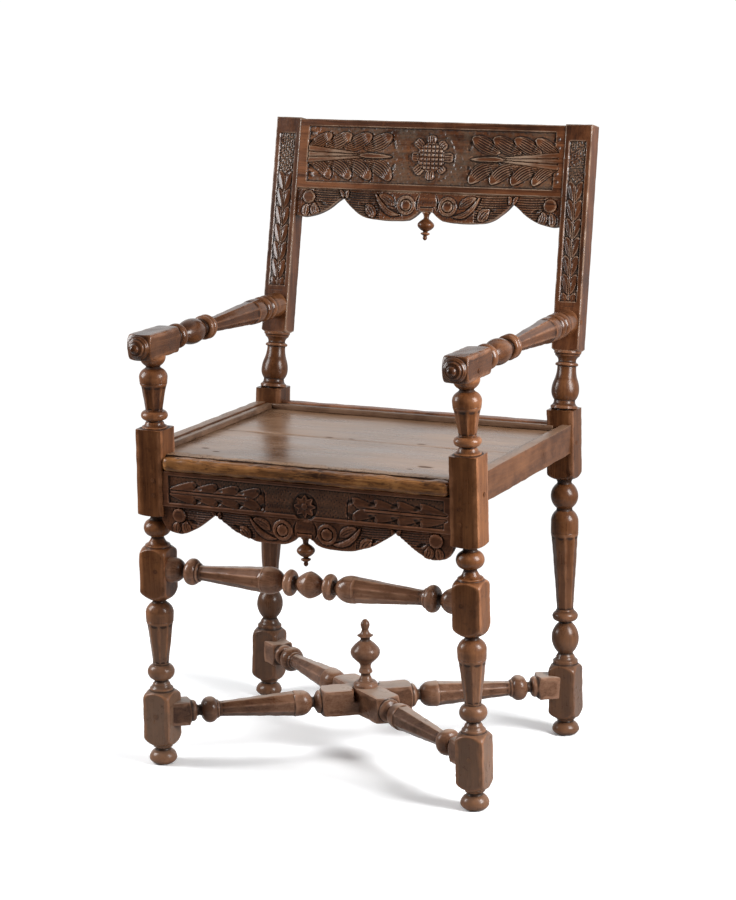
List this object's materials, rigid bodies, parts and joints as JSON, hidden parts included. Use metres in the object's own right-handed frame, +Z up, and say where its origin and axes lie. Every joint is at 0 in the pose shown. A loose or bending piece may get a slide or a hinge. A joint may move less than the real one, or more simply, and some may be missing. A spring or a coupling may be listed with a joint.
{
  "type": "carved open armchair",
  "caption": "Turned and pegged walnut armchair with a plank seat, open back under a carved crest rail, scalloped valances with drops, and crossed stretchers under a finial.",
  "frame": {"origin": "middle of the floor rectangle under the chair, at floor level", "axes": "+Z up, the sitter faces -Y, +X is on the viewer's right when the chair faces the viewer"},
  "size_m": [0.5888, 0.5732, 0.9851],
  "materials": {
    "turned_walnut": "waxed and hand polished, worn edges",
    "carved_walnut": "carved, waxed, dark in the recesses",
    "seat_walnut": "planed planks, polished by use",
    "peg_wood": "end grain, rubbed flush"
  },
  "bodies": {
    "root": {"arm_left": "turned_walnut", "arm_right": "turned_walnut", "crest_drop": "turned_walnut", "crest_rail": "carved_walnut", "crest_valance": "carved_walnut", "cross_finial": "turned_walnut", "cross_stretcher_over": "turned_walnut", "cross_stretcher_under": "turned_walnut", "front_drop": "turned_walnut", "front_post_left": "turned_walnut", "front_post_right": "turned_walnut", "front_seat_rail": "carved_walnut", "front_stretcher": "turned_walnut", "front_valance": "carved_walnut", "pegs_arms": "peg_wood", "pegs_crest_rail": "peg_wood", "pegs_cross_stretchers": "peg_wood", "pegs_front_rail": "peg_wood", "pegs_front_stretcher": "peg_wood", "pegs_rear_rail": "peg_wood", "pegs_side_rails": "peg_wood", "rear_post_left": "turned_walnut", "rear_post_right": "turned_walnut", "rear_seat_rail": "turned_walnut", "seat_nosing": "seat_walnut", "seat_plank_back": "seat_walnut", "seat_plank_front": "seat_walnut", "seat_strip_left": "seat_walnut", "seat_strip_rear": "seat_walnut", "seat_strip_right": "seat_walnut", "side_seat_rail_left": "turned_walnut", "side_seat_rail_right": "turned_walnut"}
  },
  "joints": []
}
